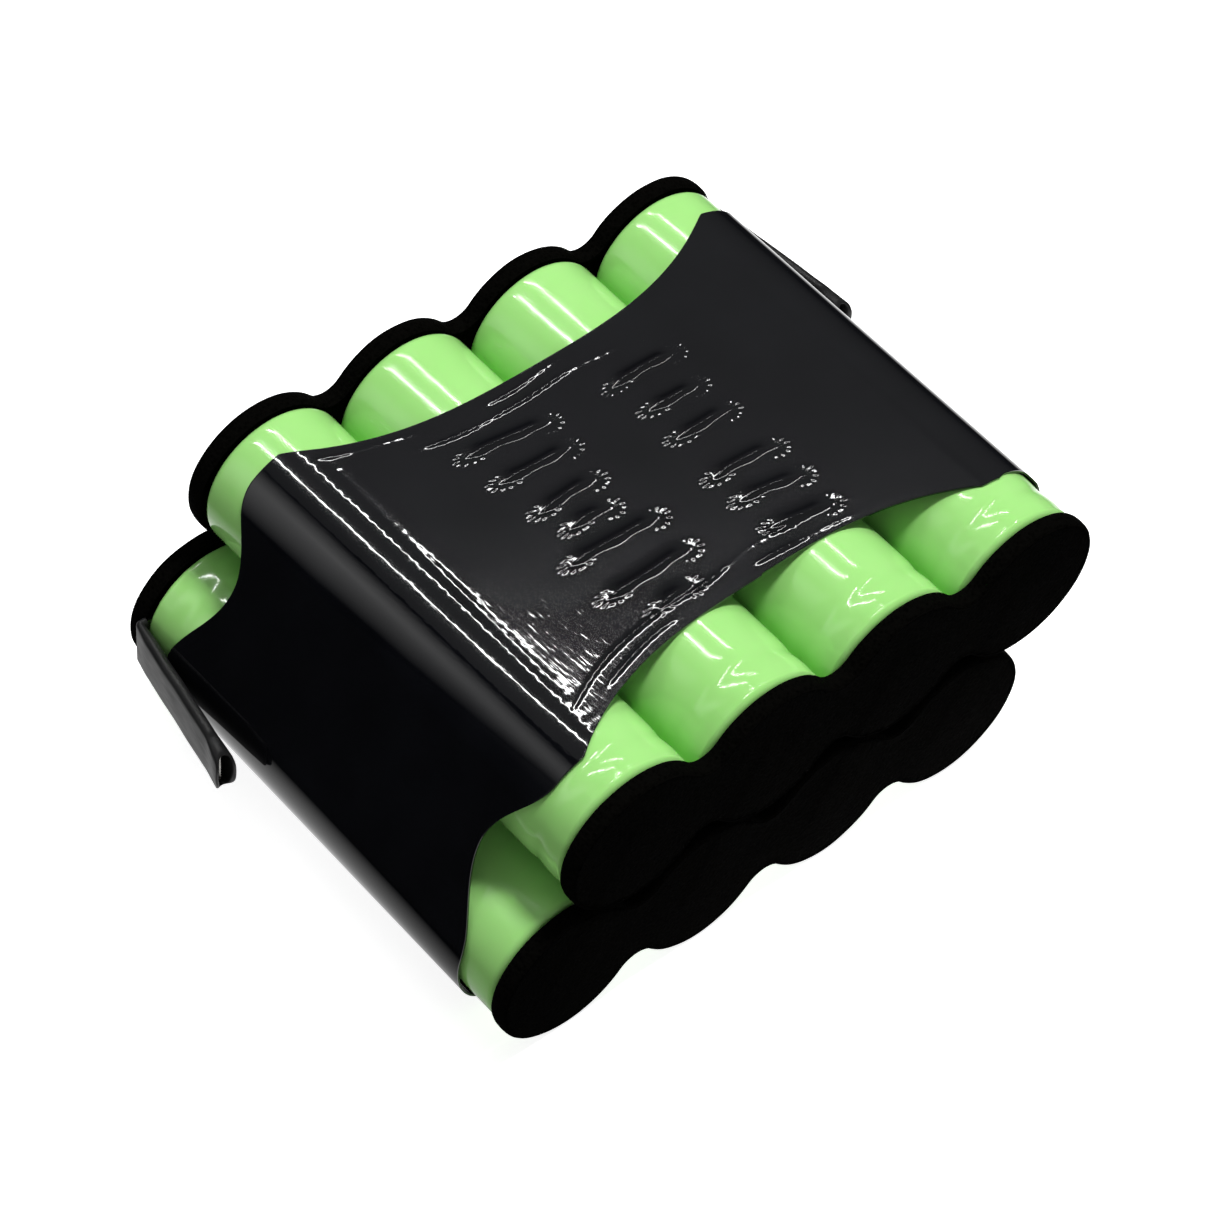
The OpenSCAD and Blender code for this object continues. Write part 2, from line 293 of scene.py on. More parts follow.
def plain_material(name, low, high, scale, rough, depth, **values):
    """A moulded or fibrous solid: mottled colour, uneven gloss and a fine relief."""
    mat, tree, shader = new_material(name, **values)
    grain = noise(tree, object_coords(tree), scale, detail=5.0, rough=0.6)
    colour_by(tree, shader, grain, low, high)
    roughness_by(tree, shader, grain, rough, rough + 0.15)
    bump(tree, shader, grain, distance=depth)
    return mat


def roll_material(row):
    """Wound electrode sheets: fine rings round each cell's own axis."""
    mat, tree, shader = new_material(f"electrode_{row}", Metallic=0.35)
    x, z, _ = cell_axis(row, 1)
    coords = tree.nodes.new("ShaderNodeTexCoord")
    wrapped = tree.nodes.new("ShaderNodeVectorMath")
    wrapped.operation = "WRAP"
    wrapped.inputs[1].default_value = (x + PITCH / 2, 1, z + PITCH / 2)
    wrapped.inputs[2].default_value = (x - PITCH / 2, -1, z - PITCH / 2)
    centred = tree.nodes.new("ShaderNodeVectorMath")
    centred.operation = "SUBTRACT"
    centred.inputs[1].default_value = (x, 0, z)
    rings = tree.nodes.new("ShaderNodeTexWave")
    rings.wave_type = "RINGS"
    rings.rings_direction = "Y"
    rings.inputs["Scale"].default_value = 900
    rings.inputs["Distortion"].default_value = 1.5
    tree.links.new(coords.outputs["Object"], wrapped.inputs[0])
    tree.links.new(wrapped.outputs[0], centred.inputs[0])
    tree.links.new(centred.outputs[0], rings.inputs["Vector"])
    layers = rings.outputs["Fac"]
    colour_by(tree, shader, layers, (0.012, 0.012, 0.013), (0.16, 0.16, 0.17), 0.2, 0.8)
    roughness_by(tree, shader, layers, 0.45, 0.7, 0, 1)
    bump(tree, shader, layers, distance=0.04 * MM)
    return mat


FILM = film_material()
WRAP = wrap_material()
FOAM = foam_material()
SLEEVE = sleeve_material()
STEEL = metal_material("nickel_steel", (0.46, 0.46, 0.47), (0.60, 0.60, 0.60),
                       scale=1500, stretch=(0.1, 4, 0.1), rough=0.22)
STRIP = metal_material("nickel_strip", (0.52, 0.51, 0.48), (0.66, 0.65, 0.61),
                       scale=2200, stretch=(0.2, 1, 3), rough=0.2)
NYLON = plain_material("seal_nylon", (0.66, 0.64, 0.56), (0.78, 0.76, 0.68),
                       scale=900, rough=0.4, depth=0.02 * MM,
                       Subsurface_Weight=0.3, Subsurface_Scale=1.0 * MM)
PAPER = plain_material("ring_paper", (0.52, 0.49, 0.40), (0.70, 0.67, 0.57),
                       scale=2600, rough=0.75, depth=0.04 * MM)
RUBBER = plain_material("plug_rubber", (0.012, 0.012, 0.012), (0.03, 0.03, 0.03),
                        scale=1400, rough=0.55, depth=0.03 * MM)


def paint_cad_nodes():
    """The CAD nodes that stay: metal, seals and rolls inside the wraps, links and lead strips."""
    by_prefix = {
        "can_": STEEL, "cap_": STEEL, "gasket_": NYLON,
        "insulator_rings": PAPER, "vent_plugs": RUBBER,
        "electrode_roll_lower": roll_material("lower"),
        "electrode_roll_upper": roll_material("upper"),
        "front_link_": STRIP, "back_link_": STRIP, "positive_tab": STRIP, "negative_tab": STRIP,
        "positive_lead_strip": STRIP, "negative_lead_strip": STRIP,
    }
    for name, obj in frame["nodes"].items():
        for prefix, mat in by_prefix.items():
            if name.startswith(prefix):
                obj.data.materials.clear()
                obj.data.materials.append(mat)


# ---------------------------------------------------------------- green wraps

SHOULDER = 0.8 * MM  # radius of the roll-over at both ends
LIP_W = 1.7 * MM  # how far the wrap covers an end
LIP_THICK = 0.18 * MM
LIP_TUCK = 0.5 * MM  # how far the lip's inner side goes back outwards
BEAD_AT = 3.6 * MM  # from the positive end to the bead
BEAD_W = 0.9 * MM
BEAD_DIP = {"lower": 0.07 * MM, "upper": 0.13 * MM}
END_ZONE = 7 * MM  # the finely split part beside the positive end
FINE_STEP = 0.14 * MM
COARSE_STEP = 1.0 * MM
SINK_W = 1.1 * MM  # how far the ends' slight sinking reaches
PUCKERS = 23
PUCKER_H = 0.012 * MM
PUCKER_W = 1.6 * MM
SWAY_H = 0.014 * MM
WRAP_SEGMENTS = 144


def wrap_profile(radius, length):
    """(distance from the positive end, radius) pairs along the outside of a wrap."""
    lip_r = radius - LIP_W
    face = [lip_r, lip_r + 0.4 * MM, radius - SHOULDER - 0.15 * MM]
    roll = [(1 - math.cos(a), 1 - math.sin(a)) for a in np.arange(11) / 10 * math.pi / 2]
    points = [(LIP_THICK, lip_r + LIP_TUCK), (LIP_THICK, lip_r)]
    points += [(0.0, r) for r in face]
    points += [(SHOULDER * a, radius - SHOULDER * b) for a, b in roll]
    at = SHOULDER
    while at < END_ZONE:
        at += FINE_STEP
        points.append((at, radius))
    while at < length - SHOULDER - 1.2 * MM:
        at += COARSE_STEP
        points.append((at, radius))
    points += [(length - SHOULDER * b, radius - SHOULDER * a) for a, b in roll]
    points += [(length, r) for r in reversed(face)]
    return points + [(length - LIP_THICK, lip_r), (length - LIP_THICK, lip_r + LIP_TUCK)]


def make_wrap(row, i):
    """One shrink wrap: it rolls over both ends of the can and sinks into its bead."""
    x, z, radius = cell_axis(row, i)
    low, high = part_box(f"wrap_{row}_{i}")
    half_len = (high.y - low.y) / 2
    profile = np.array(wrap_profile(radius, 2 * half_len))
    facing = -1 if row == "upper" else 1
    seed = 11 + i + (7 if row == "upper" else 0)
    angle = np.arange(WRAP_SEGMENTS) / WRAP_SEGMENTS * TURN
    base_r = profile[:, 1]
    A, D = np.meshgrid(angle, profile[:, 0], indexing="ij")
    R = np.tile(base_r, (WRAP_SEGMENTS, 1))
    deep = BEAD_DIP[row] * (1 + 0.25 * soft_noise(A * 2.5, D * 0, 1.0, seed + 3))
    dip = deep * np.exp(-((D - BEAD_AT) / BEAD_W) ** 2)
    shoulder_sink = 0.05 * MM * smooth(1 - (D - SHOULDER) / SINK_W) * (D > 0)
    waver = 2 * soft_noise(A * 3, D * 0, 1.0, seed)
    pucker = PUCKER_H * np.cos(A * PUCKERS + waver) * np.exp(-D / PUCKER_W)
    sway = SWAY_H * soft_noise(A * 2.2 + 9, D / (9 * MM), 1.0, seed)
    on_side = base_r > radius - 0.02 * MM
    R = R - (dip + shoulder_sink) * on_side + (pucker + sway) * (base_r > radius - SHOULDER)
    Y = facing * (half_len - D)
    points = np.stack([x + R * np.cos(A), Y, z + R * np.sin(A)], -1).reshape(-1, 3)
    faces = grid_faces(WRAP_SEGMENTS, len(profile), True, flip=facing > 0)
    obj = make_object(f"wrap_skin_{row}_{i}", points, faces, WRAP)
    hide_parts(f"wrap_{row}_{i}")
    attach(obj, "pack")


# ---------------------------------------------------------------- film sleeve

# The film's free edges, as in the CAD part: half-widths at the necks, then where the sides' necks
# sit above or below mid-height and how far they reach.
FILM_NECK = 15.1 * MM
SIDE_NECK = 16.9 * MM
SIDE_RISE = 4.5 * MM
SIDE_SHORT = 7.8 * MM
SIDE_LONG = 9.5 * MM
TOP_OVER = 2.0 * MM  # how far the top's neck runs past the outer cells' axes
# The notch in the front edge at the upper right cell, which the CAD part leaves out.
SHOULDER_NOTCH = 0.8 * MM
FLANK_NOTCH = 0.8 * MM
# How far the film stands off the CAD film on its sides.
SLACK_RIGHT = 0.17 * MM
SLACK_LEFT = 0.34 * MM

# Small blisters over the second and third upper cells: (cell, y, length, tilt), in mm and degrees.
BLISTERS = (
    (2, 9.8, 10.9, -5), (2, 6.1, 9.9, -3), (2, 1.8, 8.6, -1), (2, -1.3, 6.6, -1),
    (2, -4.5, 11.6, 0), (2, -9.0, 11.4, 0), (2, -12.3, 6.4, 2),
    (3, 9.0, 9.5, 2), (3, 4.9, 7.8, 0), (3, 1.0, 8.3, -3),
    (3, -4.5, 9.2, -4), (3, -8.1, 8.8, -6), (3, -12.0, 8.4, -9),
)
# The blistered windows, as (cell, x from, x to, y from, y to) in mm from the cell's crest.
WINDOWS = ((2, -6.6, 6.4, -14.6, 12.6), (3, -5.6, 5.6, -14.2, 11.2))
SPLIT_COLUMNS = 3
SPLIT_ROWS = 5

RIDGE_H = 0.30 * MM
RIDGE_BACK = 0.72 * MM
RIDGE_FRONT = 0.20 * MM
RIDGE_END = 3 * MM  # how far a ridge fades out at each end
# Each blister's pleated fans, at its left (-1) and right (1) end.
FAN_LENGTH = {-1: 1.8 * MM, 1: 1.25 * MM}
FAN_WIDTH = {-1: 0.80 * MM, 1: 1.05 * MM}
PLEAT_H = 0.005 * MM
DISH_H = 0.008 * MM

# Folds along the free edges: (distance from the edge, height, width) in mm, and a seed.
EDGE_FOLDS = ((1.0, 0.06, 0.22, 5), (2.5, 0.045, 0.24, 15))
EDGE_LIFT = 0.085 * MM
GROOVE_DEPTH = 0.045 * MM
GROOVE_AT = 0.7 * MM  # to the right of the first crest
GROOVE_W = 0.45 * MM
CRIMP_H = 0.0016 * MM
CRIMP_STEP = 1.15 * MM
CRIMP_W = 1.6 * MM

FILM_ROWS = 106  # across the film, apart from the finely split zone along each free edge
EDGE_ZONE = 4.5 * MM
EDGE_STEP = 0.1 * MM
RIM_ROWS = 16  # rows of the inner side, behind each free edge
RIM_THICK = 0.85  # share of the CAD film's thickness
ON_TOP = 0.8  # the film's top is where its outward normal is more upright than this


def blister(x, y, length, tilt, seed):
    """Height of one blister: a ridge, steep at the front, with a pleated fan at each end."""
    c, s = math.cos(math.radians(tilt)), math.sin(math.radians(tilt))
    a, b = x * c + y * s, y * c - x * s
    half = length / 2
    b = b + 0.14 * MM * np.sin(a / half * 2.4 + seed)
    past = np.maximum(np.abs(a) - (half - RIDGE_END), 0) / MM
    front = RIDGE_FRONT * (1 + 0.22 * np.sin(a / MM * 1.7 + seed * 3))
    across = np.where(b > 0, b / RIDGE_BACK, b / front)
    height = RIDGE_H * np.exp(-past ** 2 - across ** 2)
    for side in (-1, 1):
        reach = FAN_LENGTH[side]
        u = (a - side * (half - reach - 0.1 * MM)) / reach
        v = (b + (0.08 + 0.08 * side) * MM) / FAN_WIDTH[side]
        r, phi = np.hypot(u, v), np.arctan2(v, u * side)
        pleats = np.cos(phi * (12.5 - side / 2) + seed + side) + 0.4 * np.cos(phi * 21 + seed * 3)
        rim = np.exp(-((r - 1.0) / 0.20) ** 2) * smooth((2.5 - np.abs(phi)) / 0.4)
        dish = np.exp(-((r - 0.35) / 0.25) ** 2) * smooth((2.2 - np.abs(phi)) / 0.8)
        height += PLEAT_H * rim * (1 + pleats) - DISH_H * (1 + side / 4) * dish
    return height


class Belt:
    """The film's path round the four corner cells, seen along the cells."""

    def __init__(self, gap):
        corners = [("upper", 1), ("upper", CELLS), ("lower", CELLS), ("lower", 1)]
        axes = [cell_axis(*c) for c in corners]
        self.z_low, self.z_high = axes[2][1], axes[0][1]
        self.mid_top = (axes[0][0] + axes[1][0]) / 2
        self.mid_bottom = (axes[2][0] + axes[3][0]) / 2
        radius = axes[0][2] + gap
        # The spacing in mm along each side and round the corner after it: top, right, bottom, left.
        steps = ((0.22, 0.3), (0.6, 0.5), (0.6, 0.4), (0.5, 0.15))
        points = []
        for k, (side_step, corner_step) in enumerate(steps):
            a = np.array(axes[k][:2])
            b = np.array(axes[(k + 1) % 4][:2])
            c = np.array(axes[(k + 2) % 4][:2])
            n1, n2 = self.outward(a, b), self.outward(b, c)
            count = int(round(np.linalg.norm(b - a) / (side_step * MM)))
            for t in np.arange(count) / count:
                points.append((*(a + (b - a) * t + n1 * radius), *n1))
            a1, a2 = math.atan2(n1[1], n1[0]), math.atan2(n2[1], n2[0])
            turn = (a2 - a1) % TURN - TURN
            count = int(round(abs(turn) * radius / (corner_step * MM)))
            for t in np.arange(count) / count:
                n = np.array((math.cos(a1 + turn * t), math.sin(a1 + turn * t)))
                points.append((*(b + n * radius), *n))
        path = np.array(points)
        self.x, self.z, self.nx, self.nz = path.T

    @staticmethod
    def outward(a, b):
        d = (b - a) / np.linalg.norm(b - a)
        return np.array((-d[1], d[0]))

    def half_width(self, half):
        """Half of the film's width at each point of the path."""
        reach = (CELLS - 1) / 2 * PITCH + TOP_OVER
        width = np.full(len(self.x), half)
        for mid, on in ((self.mid_top, self.z > self.z_high),
                        (self.mid_bottom, self.z < self.z_low)):
            u = np.abs(self.x - mid) / reach
            edge = FILM_NECK + (half - FILM_NECK) * u ** 3
            width = np.where(on & (u < 1), edge, width)
        # The left side is narrowest above its middle, and the right side below it.
        left = self.x < (self.mid_top + self.mid_bottom) / 2
        past = (self.z - (self.z_low + self.z_high) / 2) * np.where(left, 1, -1) - SIDE_RISE
        u = np.clip(past / np.where(past > 0, SIDE_SHORT, SIDE_LONG), -1, 1)
        edge = half - (half - SIDE_NECK) * (1 - u * u) ** 2
        return np.minimum(width, edge)

    def notch(self):
        """How far the front edge falls back over the upper right cell's shoulder and flank."""
        angle = np.degrees(np.arctan2(self.nz, self.nx))  # of the film's outward normal
        depth = SHOULDER_NOTCH * smooth((angle - 27) / 13) + FLANK_NOTCH
        reach = smooth((angle + 20) / 30) * smooth((96 - angle) / 30)
        return depth * reach * (self.x > self.mid_top)


def film_relief(X, Y, edge, on_top):
    """How far the film stands off its belt, at each point of the grid."""
    height = 0.004 * MM * soft_noise(X, Y, 4.0 * MM, 8)
    first = cell_axis("upper", 1)[0]
    phase = (X - first) / PITCH
    for n, (cell, y, length, tilt) in enumerate(BLISTERS):
        cx = cell_axis("upper", cell)[0]
        near = (np.abs(X - cx) < 7 * MM) & (np.abs(Y - y * MM) < 3 * MM) & on_top
        height[near] += blister(X[near] - cx, Y[near] - y * MM, length * MM, tilt, 1.7 * n)
    # Slack along the free edges: a thin fold just inside the edge and a broken one behind it.
    front = Y < 0
    end = np.where(front, 2.35, 2.1)
    reach = smooth((phase + 0.05) / 0.3) * smooth((end - phase) / 0.5)
    for at, deep, wide, seed in EDGE_FOLDS:
        wander = soft_noise(X + 7 * MM * front, Y * 0, 6 * MM, seed)
        place = edge - at * MM - 0.4 * MM * wander
        broken = soft_noise(X + 11 * MM * front, Y * 0, 3.6 * MM, seed + 2)
        strength = np.clip(0.5 + 0.8 * broken, 0, 1.2)
        ripple = 1 + 0.3 * np.sin(X / MM * 5.5 + seed)
        ridge = np.exp(-(place / (wide * MM)) ** 2)
        height += deep * MM * strength * ripple * reach * on_top * ridge
    # The slack front edge lifts a little.
    lift = EDGE_LIFT * np.clip((-Y - 3 * MM) / (14 * MM), 0, None) ** 3
    height += lift * smooth((phase + 0.2) / 0.2) * smooth((2.3 - phase) / 0.8) * on_top
    # A faint groove just right of the first crest, where the film was folded flat before it shrank.
    groove = GROOVE_DEPTH * (0.75 + 0.35 * soft_noise(Y, Y * 0, 6 * MM, 31))
    groove *= smooth((18.5 * MM - Y) / (3 * MM)) * smooth((Y + 16 * MM) / (4 * MM))
    height -= groove * np.exp(-((X - first - GROOVE_AT) / GROOVE_W) ** 2) * on_top
    # The first crest is crimped along its length.
    crimp = np.sin(TURN * Y / CRIMP_STEP + 1.5 * soft_noise(Y, Y * 0, 3 * MM, 41))
    height += CRIMP_H * crimp * np.exp(-((X - first) / CRIMP_W) ** 2) * on_top
    return height


def slack(nx, nz):
    """How far the film stands off round its sides, most of all low on the left."""
    right = SLACK_RIGHT * smooth((nx - 0.3) / 0.5)
    left = SLACK_LEFT * smooth((-nx - 0.3) / 0.5)
    return right + left * smooth((nz + 0.95) / 0.4) * smooth((0.75 - nz) / 0.6)


def place_film(grid, height):
    """Points at a height over the belt."""
    return np.stack([grid["x"] + height * grid["nx"], grid["y"],
                     grid["z"] + height * grid["nz"]], -1)


def spaced(count, half, near, fine):
    """Places from -1 to 1, a fine step apart near both ends; half is the real half-length."""
    side = np.arange(0, near, fine)
    middle = np.linspace(near, 2 * half - near, count)
    return np.concatenate([side, middle, 2 * half - side[::-1]]) / half - 1


def between(grid, at_column, at_row):
    """Bilinear values of a grid at fractional columns and rows."""
    c, r = np.floor(at_column).astype(int), np.floor(at_row).astype(int)
    c, r = np.minimum(c, grid.shape[0] - 2), np.minimum(r, grid.shape[1] - 2)
    tc, tr = at_column - c, at_row - r
    return ((grid[c, r] * (1 - tc) + grid[c + 1, r] * tc) * (1 - tr)
            + (grid[c, r + 1] * (1 - tc) + grid[c + 1, r + 1] * tc) * tr)


def split_window(window, belt, v, ids, grid, relief, total):
    """Splits a blistered window of the film's grid more finely.

    Returns the window's place in the grid, its new points, its faces, and the new points on its
    border between each pair of the coarse grid's neighbours.
    """
    cell, x_low, x_high, y_low, y_high = window
    x = belt.x - cell_axis("upper", cell)[0]
    on = np.nonzero((belt.nz > 0.99) & (x > x_low * MM) & (x < x_high * MM))[0]
    c0, c1 = on[0], on[-1]
    r0, r1 = np.searchsorted(v * FILM_NECK, (y_low * MM, y_high * MM))
    at_c, at_r = np.meshgrid(np.linspace(c0, c1, (c1 - c0) * SPLIT_COLUMNS + 1),
                             np.linspace(r0, r1, (r1 - r0) * SPLIT_ROWS + 1), indexing="ij")
    fine = {name: between(values, at_c, at_r) for name, values in grid.items()}
    raised = film_relief(fine["x"], fine["y"], fine["edge"], fine["nz"] > ON_TOP)
    border = np.ones_like(raised, bool)
    border[1:-1, 1:-1] = False
    raised[border] = between(relief, at_c, at_r)[border]
    # Vertices on the border that the coarse grid already has keep its numbers.
    number = np.full(raised.shape, -1)
    number[::SPLIT_COLUMNS, ::SPLIT_ROWS] = np.where(
        border[::SPLIT_COLUMNS, ::SPLIT_ROWS], ids[c0:c1 + 1, r0:r1 + 1], -1)
    new = number < 0
    number[new] = total + np.arange(new.sum())
    quads = np.stack([number[:-1, :-1], number[:-1, 1:], number[1:, 1:], number[1:, :-1]], -1)
    faces = [tuple(q) for q in quads.reshape(-1, 4).tolist()]
    inner = {}
    for line, step in ((number[0], SPLIT_ROWS), (number[-1], SPLIT_ROWS),
                       (number[:, 0], SPLIT_COLUMNS), (number[:, -1], SPLIT_COLUMNS)):
        for k in range(0, len(line) - 1, step):
            a, b = int(line[k]), int(line[k + step])
            inner[a, b] = [int(n) for n in line[k + 1:k + step]]
            inner[b, a] = inner[a, b][::-1]
    return (slice(c0, c1), slice(r0, r1)), place_film(fine, raised)[new], faces, inner


def make_film():
    """The film: a blistered belt round the corner cells, with a rim along its free edges."""
    low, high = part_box("film_sleeve")
    half = (high.y - low.y) / 2
    top = cell_axis("upper", 1)
    gap = high.z - top[1] - top[2]
    belt = Belt(gap)
    v = spaced(FILM_ROWS, half, EDGE_ZONE, EDGE_STEP)
    columns, rows = len(belt.x), len(v)
    width = belt.half_width(half)[:, None] - belt.notch()[:, None] * (v < 0)
    ids = np.arange(columns * rows).reshape(columns, rows)
    grid = {"y": width * v, "edge": width * (1 - np.abs(v))}
    for name in ("x", "z", "nx", "nz"):
        grid[name] = np.repeat(getattr(belt, name)[:, None], rows, 1)

    relief = film_relief(grid["x"], grid["y"], grid["edge"], grid["nz"] > ON_TOP)
    # Nothing stands out of the underside, which rests on the floor.
    relief = np.where(grid["nz"] < -0.5, np.minimum(relief, 0), relief)
    relief += slack(grid["nx"], grid["nz"])
    points = [place_film(grid, relief).reshape(-1, 3)]
    total = columns * rows
    split = np.zeros((columns, rows - 1), bool)
    extra = {}
    faces = []
    for window in WINDOWS:
        where, fine, quads, inner = split_window(window, belt, v, ids, grid, relief, total)
        split[where] = True
        points.append(fine)
        total += len(fine)
        faces += quads
        extra.update(inner)
    for c in range(columns):
        n = (c + 1) % columns
        for r in range(rows - 1):
            if split[c, r]:
                continue
            corners = [int(ids[at]) for at in ((c, r), (c, r + 1), (n, r + 1), (n, r))]
            loop = []
            for a, b in zip(corners, corners[1:] + corners[:1]):
                loop += [a] + extra.get((a, b), [])
            faces.append(tuple(loop))
    # The rim: the film has a thickness, and its inner side is seen just inside it.
    for keep, rim in ((slice(0, RIM_ROWS), 0), (slice(rows - RIM_ROWS, rows), rows - 1)):
        inner = place_film(grid, relief - RIM_THICK * gap)[:, keep].reshape(-1, 3)
        faces += grid_faces(columns, RIM_ROWS, True, start=total, flip=True)
        last = 0 if rim == 0 else RIM_ROWS - 1
        for c in range(columns):
            n = (c + 1) % columns
            quad = (c * rows + rim, n * rows + rim,
                    total + n * RIM_ROWS + last, total + c * RIM_ROWS + last)
            faces.append(quad[::-1] if rim == 0 else quad)
        points.append(inner)
        total += len(inner)
    points = np.concatenate(points)
    # The coarse vertices inside the windows belong to no face.
    used = np.zeros(total, bool)
    used[[k for face in faces for k in face]] = True
    renumber = np.cumsum(used) - 1
    faces = [tuple(int(renumber[k]) for k in face) for face in faces]
    obj = make_object("film_skin", points[used], faces, FILM)
    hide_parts("film_sleeve")
    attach(obj, "pack")


# ---------------------------------------------------------------- foam pads

NECK_R = 2.2 * MM  # fillets between the lobes
PAD_OVER = 0.14 * MM  # how far the foam stands out past the CAD strip, all round
PAD_END = 0.2 * MM  # and further at a strip's two ends
PAD_STEP = 0.4 * MM
PAD_WOBBLE = 0.05 * MM
PAD_SWELL = 0.10 * MM
LINK_MARK = 0.10 * MM
FACE_SPACING = 0.7 * MM  # between the points of the outer face
BACK_SPACING = 2.0 * MM
# The pad's section: (how far in from the outline in mm, share of the thickness).
PAD_RINGS = ((0.30, 0.00), (0.10, 0.06), (0.0, 0.22), (-0.03, 0.5), (0.0, 0.74),
             (0.05, 0.86), (0.16, 0.945), (0.34, 0.985))


def pad_outline(centres, z, radius, step):
    """The closed outline of a foam strip: round lobes joined by filleted necks."""
    fillet_h = math.sqrt((radius + NECK_R) ** 2 - PITCH ** 2 / 4)
    alpha = math.atan2(fillet_h, PITCH / 2)
    points = []

    def arc(cx, cz, r, a, b):
        count = max(2, int(abs(b - a) * r / step))
        for t in np.arange(count) / count:
            angle = a + (b - a) * t
            points.append((cx + r * math.cos(angle), cz + r * math.sin(angle)))

    last = len(centres) - 1
    for k, x in enumerate(centres):
        arc(x, z, radius, math.pi if k == 0 else math.pi - alpha, 0 if k == last else alpha)
        if k < last:
            arc((x + centres[k + 1]) / 2, z + fillet_h, NECK_R, math.pi + alpha, TURN - alpha)
    for k in range(last, -1, -1):
        x = centres[k]
        arc(x, z, radius, 0 if k == last else -alpha, -math.pi if k == 0 else alpha - math.pi)
        if k > 0:
            arc((x + centres[k - 1]) / 2, z - fillet_h, NECK_R, alpha, math.pi - alpha)
    return np.array(points)


def inset(outline, by):
    """Moves a closed outline inwards, along its own normals."""
    d = np.roll(outline, -1, 0) - np.roll(outline, 1, 0)
    d /= np.linalg.norm(d, axis=1)[:, None]
    return outline + np.stack([d[:, 1], -d[:, 0]], -1) * np.atleast_1d(by)[:, None]


def link_marks(side, row, x, z):
    """0 to 1: where the links from this row's cells press against the foam."""
    other = "upper" if row == "lower" else "lower"
    mark = np.zeros_like(x)
    for i in range(1, CELLS + 1):
        ax, az, _ = cell_axis(row, i)
        j = i if side == "front" else (i + 1 if row == "upper" else i - 1)
        if not 1 <= j <= CELLS:
            continue
        bx, bz, _ = cell_axis(other, j)
        d = np.array((bx - ax, bz - az)) / math.hypot(bx - ax, bz - az)
        along = (x - ax) * d[0] + (z - az) * d[1]
        across = np.abs((x - ax) * d[1] - (z - az) * d[0])
        inside = smooth((STRIP_W / 2 + 0.8 * MM - across) / (1.2 * MM))
        mark = np.maximum(mark, smooth((along + 3 * MM) / (1.5 * MM)) * inside)
    return mark


def fill_loop(loop, spacing, level, outward, start):
    """Fills a loop with triangles; level gives each point its y. Returns the points and faces."""
    count = len(loop)
    xs = np.arange(loop[:, 0].min(), loop[:, 0].max(), spacing)
    zs = np.arange(loop[:, 1].min(), loop[:, 1].max(), spacing)
    inside = []
    for n, gz in enumerate(zs):
        for gx in xs + (spacing / 2 if n % 2 else 0):
            if np.min(np.hypot(loop[:, 0] - gx, loop[:, 1] - gz)) > 0.6 * spacing:
                inside.append((gx, gz))
    coords = [Vector(p) for p in list(loop) + inside]
    edges = [(k, (k + 1) % count) for k in range(count)]
    verts, _, tris, *_ = delaunay_2d_cdt(coords, edges, [list(range(count))], 1, 1e-9)
    flat = np.array([tuple(p) for p in verts])
    gap = np.array([np.min(np.hypot(loop[:, 0] - p[0], loop[:, 1] - p[1])) for p in flat])
    points = [(p[0], y, p[1]) for p, y in zip(flat, level(flat, gap))]
    faces = []
    for t in tris:
        a, b, c = (flat[k] for k in t)
        area = (b[0] - a[0]) * (c[1] - a[1]) - (c[0] - a[0]) * (b[1] - a[1])
        turned = (area > 0) == (outward < 0)
        faces.append(tuple(start + k for k in (t if turned else t[::-1])))
    return points, faces


